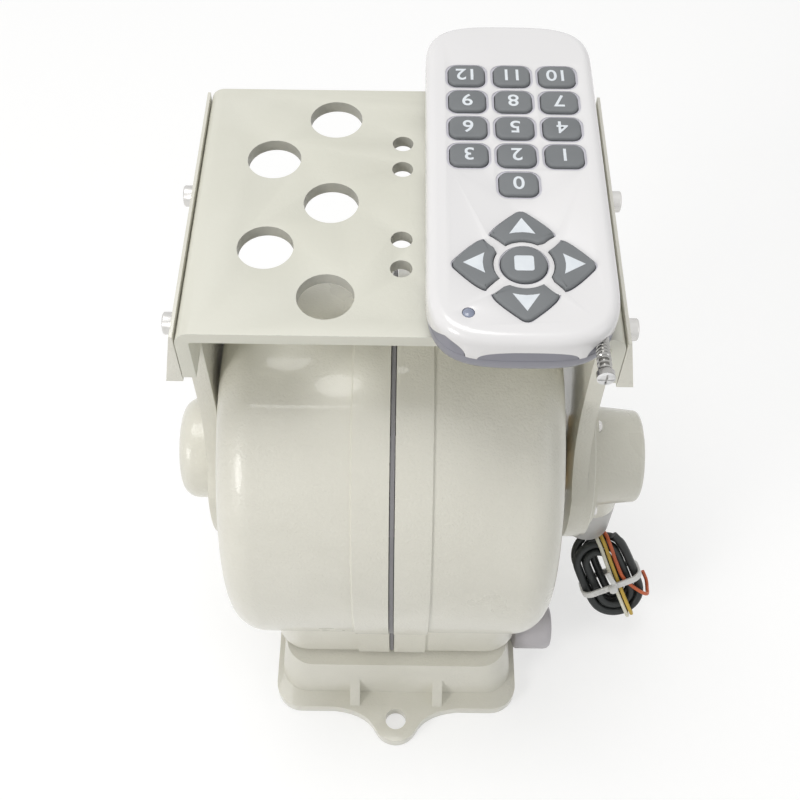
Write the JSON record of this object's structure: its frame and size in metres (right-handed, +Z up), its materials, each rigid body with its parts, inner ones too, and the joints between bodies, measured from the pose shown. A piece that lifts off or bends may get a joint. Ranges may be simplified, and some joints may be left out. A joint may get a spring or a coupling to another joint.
{
  "type": "remote pan tilt head",
  "caption": "Motorised pan and tilt head: footed base, turning drum in two cast halves, tilting arms with a drilled platform, cable hank, and a keypad handset with a telescopic aerial.",
  "frame": {"origin": "on the pan axis, on the underside of the base", "axes": "+Z up along the pan axis, +X to the head's right as seen from the front, the front faces -Y"},
  "size_m": [0.2299, 0.2124, 0.2779],
  "materials": {
    "painted_casting": "satin textured ivory paint",
    "painted_platform": "satin pale ivory paint",
    "stainless_steel": "satin",
    "grey_metal": "satin",
    "bronze": "satin",
    "black_sheath": "matt",
    "gasket_rubber": "matt",
    "circuit_board": "satin",
    "white_plastic": "soft gloss",
    "grey_plastic": "soft gloss",
    "key_rubber": "matt",
    "chrome": "polished",
    "yellow_insulation": "satin",
    "white_insulation": "satin",
    "orange_insulation": "satin"
  },
  "bodies": {
    "base": {"base_casting": "painted_casting", "base_cover": "grey_metal", "cover_screw_1": "stainless_steel", "cover_screw_2": "stainless_steel", "base_connector": "grey_metal", "pan_spindle": "stainless_steel", "pan_gear": "stainless_steel"},
    "turret": {"left_shell": "painted_casting", "right_shell": "painted_casting", "shell_gasket": "gasket_rubber", "pan_bearing": "bronze", "gear_chassis": "grey_metal", "pan_motor": "stainless_steel", "tilt_motor": "stainless_steel", "control_board": "circuit_board", "left_bush": "bronze", "right_bush": "bronze"},
    "pan_pinion": {"pan_pinion": "bronze"},
    "tilt_pinion": {"tilt_pinion": "bronze"},
    "bracket": {"platform": "painted_platform", "left_arm": "painted_casting", "right_arm": "painted_casting", "left_screw_1": "stainless_steel", "left_screw_2": "stainless_steel", "right_screw_1": "stainless_steel", "right_screw_2": "stainless_steel", "left_cap": "painted_casting", "right_cap": "painted_casting", "cable_outlet": "grey_metal", "tilt_shaft": "stainless_steel", "tilt_gear": "stainless_steel", "black_cable": "black_sheath", "yellow_wire": "yellow_insulation", "white_wire": "white_insulation", "orange_wire": "orange_insulation", "zip_tie": "white_plastic"},
    "handset": {"handset_base": "grey_plastic", "handset_top": "white_plastic", "handset_board": "circuit_board", "handset_led": "grey_plastic", "antenna_socket": "chrome"},
    "antenna": {"antenna_mast": "chrome"},
    "key_3": {"key_3": "key_rubber"},
    "key_2": {"key_2": "key_rubber"},
    "key_1": {"key_1": "key_rubber"},
    "key_6": {"key_6": "key_rubber"},
    "key_5": {"key_5": "key_rubber"},
    "key_4": {"key_4": "key_rubber"},
    "key_9": {"key_9": "key_rubber"},
    "key_8": {"key_8": "key_rubber"},
    "key_7": {"key_7": "key_rubber"},
    "key_12": {"key_12": "key_rubber"},
    "key_11": {"key_11": "key_rubber"},
    "key_10": {"key_10": "key_rubber"},
    "key_0": {"key_0": "key_rubber"},
    "key_stop": {"key_stop": "key_rubber"},
    "key_far": {"key_far": "key_rubber"},
    "key_left": {"key_left": "key_rubber"},
    "key_near": {"key_near": "key_rubber"},
    "key_right": {"key_right": "key_rubber"}
  },
  "joints": [
    {"name": "pan", "type": "hinge", "parent": "base", "child": "turret", "pos_m": [0, 0, 0.0357], "axis": [0, 0, 1], "range_deg": [-175, 175]},
    {"name": "tilt", "type": "hinge", "parent": "turret", "child": "bracket", "pos_m": [0, 0, 0.1304], "axis": [1, 0, 0], "range_deg": [-60, 60]},
    {"name": "pan_pinion_spin", "type": "hinge", "parent": "turret", "child": "pan_pinion", "pos_m": [-0.0298, 0.0298, 0.048], "axis": [0, 0, 1], "range_deg": [-438, 438]},
    {"name": "tilt_pinion_spin", "type": "hinge", "parent": "turret", "child": "tilt_pinion", "pos_m": [0.048, -0.02991, 0.17312], "axis": [1, 0, 0], "range_deg": [-201, 201]},
    {"name": "handset_lift", "type": "slide", "parent": "bracket", "child": "handset", "axis": [0, 0, 1], "range_m": [0, 0.06]},
    {"name": "antenna_pull", "type": "slide", "parent": "handset", "child": "antenna", "axis": [0, -1, 0], "range_m": [0, 0.055]},
    {"name": "key_3_press", "type": "slide", "parent": "handset", "child": "key_3", "axis": [0, 0, -1], "range_m": [0, 0.0008], "stiffness_N_per_m": 600, "springref_m": -0.001},
    {"name": "key_2_press", "type": "slide", "parent": "handset", "child": "key_2", "axis": [0, 0, -1], "range_m": [0, 0.0008], "stiffness_N_per_m": 600, "springref_m": -0.001},
    {"name": "key_1_press", "type": "slide", "parent": "handset", "child": "key_1", "axis": [0, 0, -1], "range_m": [0, 0.0008], "stiffness_N_per_m": 600, "springref_m": -0.001},
    {"name": "key_6_press", "type": "slide", "parent": "handset", "child": "key_6", "axis": [0, 0, -1], "range_m": [0, 0.0008], "stiffness_N_per_m": 600, "springref_m": -0.001},
    {"name": "key_5_press", "type": "slide", "parent": "handset", "child": "key_5", "axis": [0, 0, -1], "range_m": [0, 0.0008], "stiffness_N_per_m": 600, "springref_m": -0.001},
    {"name": "key_4_press", "type": "slide", "parent": "handset", "child": "key_4", "axis": [0, 0, -1], "range_m": [0, 0.0008], "stiffness_N_per_m": 600, "springref_m": -0.001},
    {"name": "key_9_press", "type": "slide", "parent": "handset", "child": "key_9", "axis": [0, 0, -1], "range_m": [0, 0.0008], "stiffness_N_per_m": 600, "springref_m": -0.001},
    {"name": "key_8_press", "type": "slide", "parent": "handset", "child": "key_8", "axis": [0, 0, -1], "range_m": [0, 0.0008], "stiffness_N_per_m": 600, "springref_m": -0.001},
    {"name": "key_7_press", "type": "slide", "parent": "handset", "child": "key_7", "axis": [0, 0, -1], "range_m": [0, 0.0008], "stiffness_N_per_m": 600, "springref_m": -0.001},
    {"name": "key_12_press", "type": "slide", "parent": "handset", "child": "key_12", "axis": [0, 0, -1], "range_m": [0, 0.0008], "stiffness_N_per_m": 600, "springref_m": -0.001},
    {"name": "key_11_press", "type": "slide", "parent": "handset", "child": "key_11", "axis": [0, 0, -1], "range_m": [0, 0.0008], "stiffness_N_per_m": 600, "springref_m": -0.001},
    {"name": "key_10_press", "type": "slide", "parent": "handset", "child": "key_10", "axis": [0, 0, -1], "range_m": [0, 0.0008], "stiffness_N_per_m": 600, "springref_m": -0.001},
    {"name": "key_0_press", "type": "slide", "parent": "handset", "child": "key_0", "axis": [0, 0, -1], "range_m": [0, 0.0008], "stiffness_N_per_m": 600, "springref_m": -0.001},
    {"name": "key_stop_press", "type": "slide", "parent": "handset", "child": "key_stop", "axis": [0, 0, -1], "range_m": [0, 0.0008], "stiffness_N_per_m": 600, "springref_m": -0.001},
    {"name": "key_far_press", "type": "slide", "parent": "handset", "child": "key_far", "axis": [0, 0, -1], "range_m": [0, 0.0008], "stiffness_N_per_m": 600, "springref_m": -0.001},
    {"name": "key_left_press", "type": "slide", "parent": "handset", "child": "key_left", "axis": [0, 0, -1], "range_m": [0, 0.0008], "stiffness_N_per_m": 600, "springref_m": -0.001},
    {"name": "key_near_press", "type": "slide", "parent": "handset", "child": "key_near", "axis": [0, 0, -1], "range_m": [0, 0.0008], "stiffness_N_per_m": 600, "springref_m": -0.001},
    {"name": "key_right_press", "type": "slide", "parent": "handset", "child": "key_right", "axis": [0, 0, -1], "range_m": [0, 0.0008], "stiffness_N_per_m": 600, "springref_m": -0.001}
  ],
  "couplings": [
    {"joint": "pan_pinion_spin", "follows": "pan", "ratio": 2.5},
    {"joint": "tilt_pinion_spin", "follows": "tilt", "ratio": -3.3333}
  ]
}
